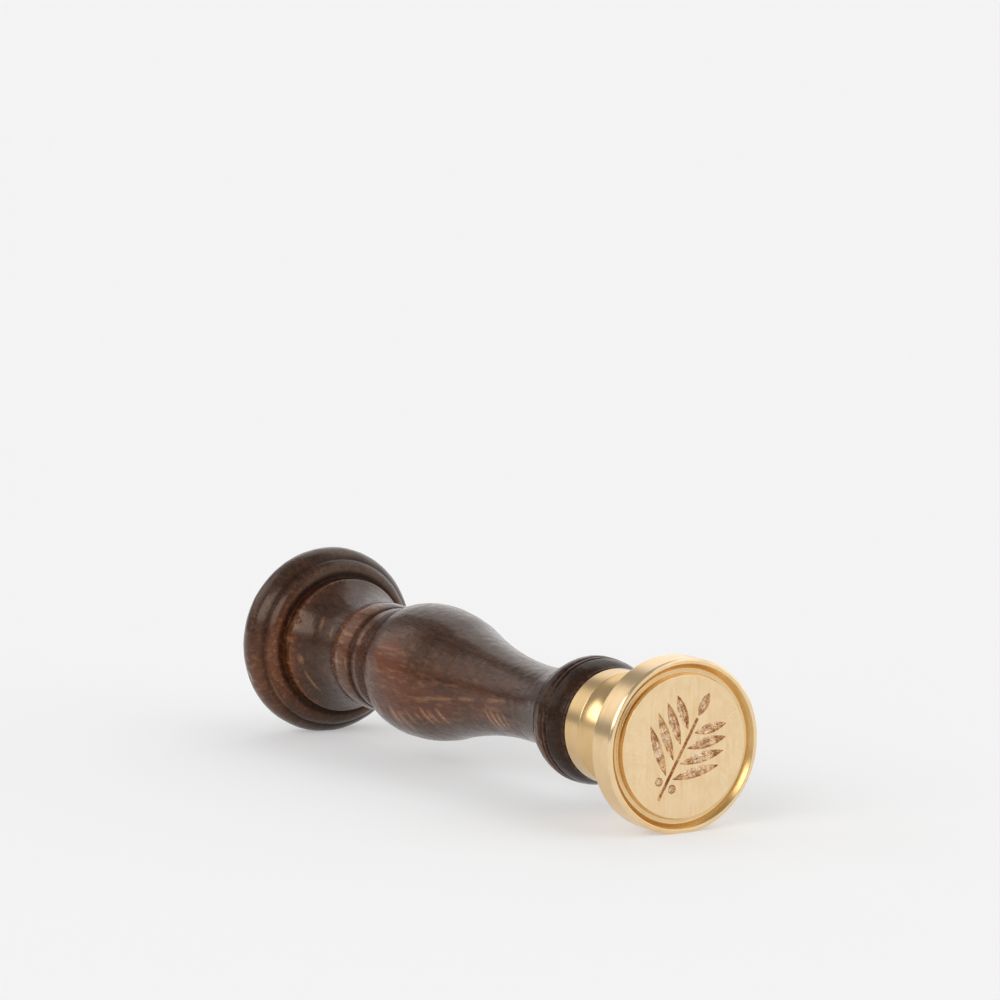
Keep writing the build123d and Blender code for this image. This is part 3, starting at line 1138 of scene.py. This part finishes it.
# Studio light by direction: levels, and for each panel its level, the azimuth of its middle and its
# half width, its lowest and highest elevation and the softness of its edge, in degrees. Azimuths are
# those of the views: 0 lies towards +Y, and 90 towards -X.
HORIZON_LEVEL = 0.892
HORIZON_TOP = (1.2, 3.0)
SURROUND_LEVEL = 0.38
PANELS = [
    (1.19, -3.0, 82.0, 0.0, 38.0, 8.0),
    (1.28, -3.0, 80.0, 40.0, 66.0, 8.0),
    (1.15, 127.0, 26.0, 14.0, 48.0, 5.0),
    (3.20, 197.0, 28.0, 16.0, 46.0, 4.0),
]


def rise(elevation):
    """How far up a direction points, by its elevation in degrees."""
    return math.sin(math.radians(elevation))


def panel_share(nodes, way, height, panel):
    """1 where a direction lies on a panel, 0 where it doesn't, and smooth at the edge."""
    _, azimuth, half_width, low, high, soft = panel
    turn = math.radians(azimuth)
    ahead = nodes.dot(way, (-math.sin(turn), math.cos(turn), 0))
    aside = nodes.dot(way, (math.cos(turn), math.sin(turn), 0))
    away = nodes.math("ARCTAN2", nodes.math("ABSOLUTE", aside), ahead)
    across = nodes.ramp(away, math.radians(half_width + soft), math.radians(half_width - soft))
    over = nodes.ramp(height, rise(low - soft), rise(low + soft))
    under = nodes.ramp(height, rise(high + soft), rise(high - soft))
    return nodes.times(across, nodes.times(over, under))


def make_world():
    """Soft studio light: a grey surround, two wide panels behind, two in front and a pale horizon."""
    world = bpy.data.worlds.new("studio")
    bpy.context.scene.world = world
    world.use_nodes = True
    nodes = Nodes(world.node_tree)
    way = nodes.add("TexCoord").outputs["Generated"]
    height = nodes.add("SeparateXYZ", None, _0=way).outputs["Z"]
    level = SURROUND_LEVEL
    for panel in PANELS:
        level = nodes.blend(panel_share(nodes, way, height, panel), level, panel[0])
    low, high = (rise(elevation) for elevation in HORIZON_TOP)
    level = nodes.blend(nodes.ramp(height, high, low), level, HORIZON_LEVEL)
    nodes.plug(world.node_tree.nodes["Background"].inputs["Color"], level)


# The camera, as fitted to the photograph's outline
CAMERA_AZIMUTH = math.radians(58.20)
CAMERA_ELEVATION = math.radians(8.16)
CAMERA_DISTANCE = 0.9942
CAMERA_RIGHT = -0.01597
CAMERA_UP = 0.04460
CAMERA_AIM = Vector((JOINT.x, 0.0, -0.0002))
LENS = 252.0
SENSOR = 36.0


def make_camera():
    level = math.cos(CAMERA_ELEVATION)
    cos_a, sin_a = math.cos(CAMERA_AZIMUTH), math.sin(CAMERA_AZIMUTH)
    back = Vector((sin_a * level, -cos_a * level, math.sin(CAMERA_ELEVATION)))
    right = Vector((cos_a, sin_a, 0.0))
    up = back.cross(right)
    place = CAMERA_AIM + right * CAMERA_RIGHT + up * CAMERA_UP + back * CAMERA_DISTANCE
    data = bpy.data.cameras.new("camera")
    data.lens = LENS
    data.sensor_width = SENSOR
    data.clip_start = 0.05
    data.clip_end = 100.0
    camera = bpy.data.objects.new("camera", data)
    bpy.context.scene.collection.objects.link(camera)
    turn = Matrix((right, up, back)).transposed()
    camera.matrix_world = Matrix.Translation(place) @ turn.to_4x4()
    bpy.context.scene.camera = camera


random.seed(SEED)
bpy.context.scene.view_settings.view_transform = "Standard"
make_handle(wood_look())
make_head(brass_look(), cut_look())
make_stud(steel_look())
insert = frame["nodes"]["threaded_insert"]
insert.data.materials.clear()
insert.data.materials.append(insert_look())
make_floor()
make_world()
make_camera()
